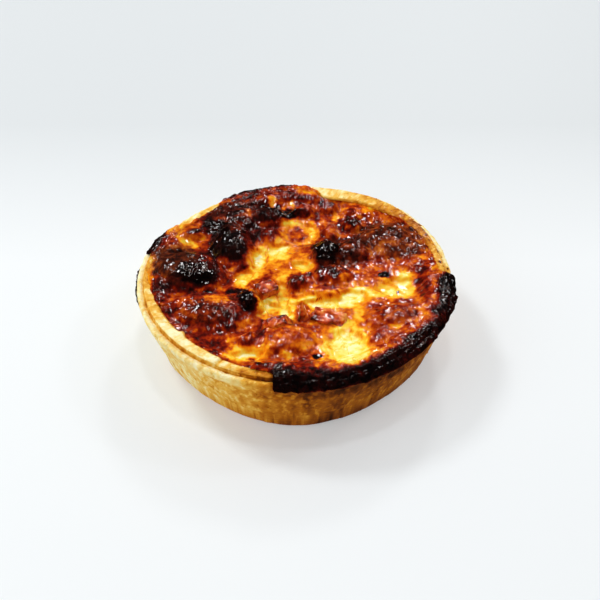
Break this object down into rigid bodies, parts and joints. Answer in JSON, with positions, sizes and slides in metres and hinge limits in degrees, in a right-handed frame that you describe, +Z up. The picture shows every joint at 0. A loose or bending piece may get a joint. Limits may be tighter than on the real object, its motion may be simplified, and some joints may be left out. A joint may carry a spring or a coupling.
{
  "type": "quiche",
  "caption": "Small round baked quiche: shortcrust case with a stepped rim, lumpy browned custard filling with pale pools, ham pieces and charred overflow on the rim.",
  "frame": {"origin": "centre of the flat base, on the surface the quiche stands on", "axes": "+Z up through the filling; -Y is the front, the side with the long charred overflow to its right"},
  "size_m": [0.1212, 0.1224, 0.0318],
  "materials": {
    "shortcrust": "baked shortcrust, dry and slightly floury",
    "browned_custard": "oily browned egg custard with charred lumps and yellow pools",
    "ham": "roasted cured ham, moist"
  },
  "bodies": {
    "root": {"pastry_case": "shortcrust", "filling": "browned_custard", "ham_cube": "ham", "ham_spike": "ham", "ham_strip": "ham", "ham_crest": "ham"}
  },
  "joints": []
}
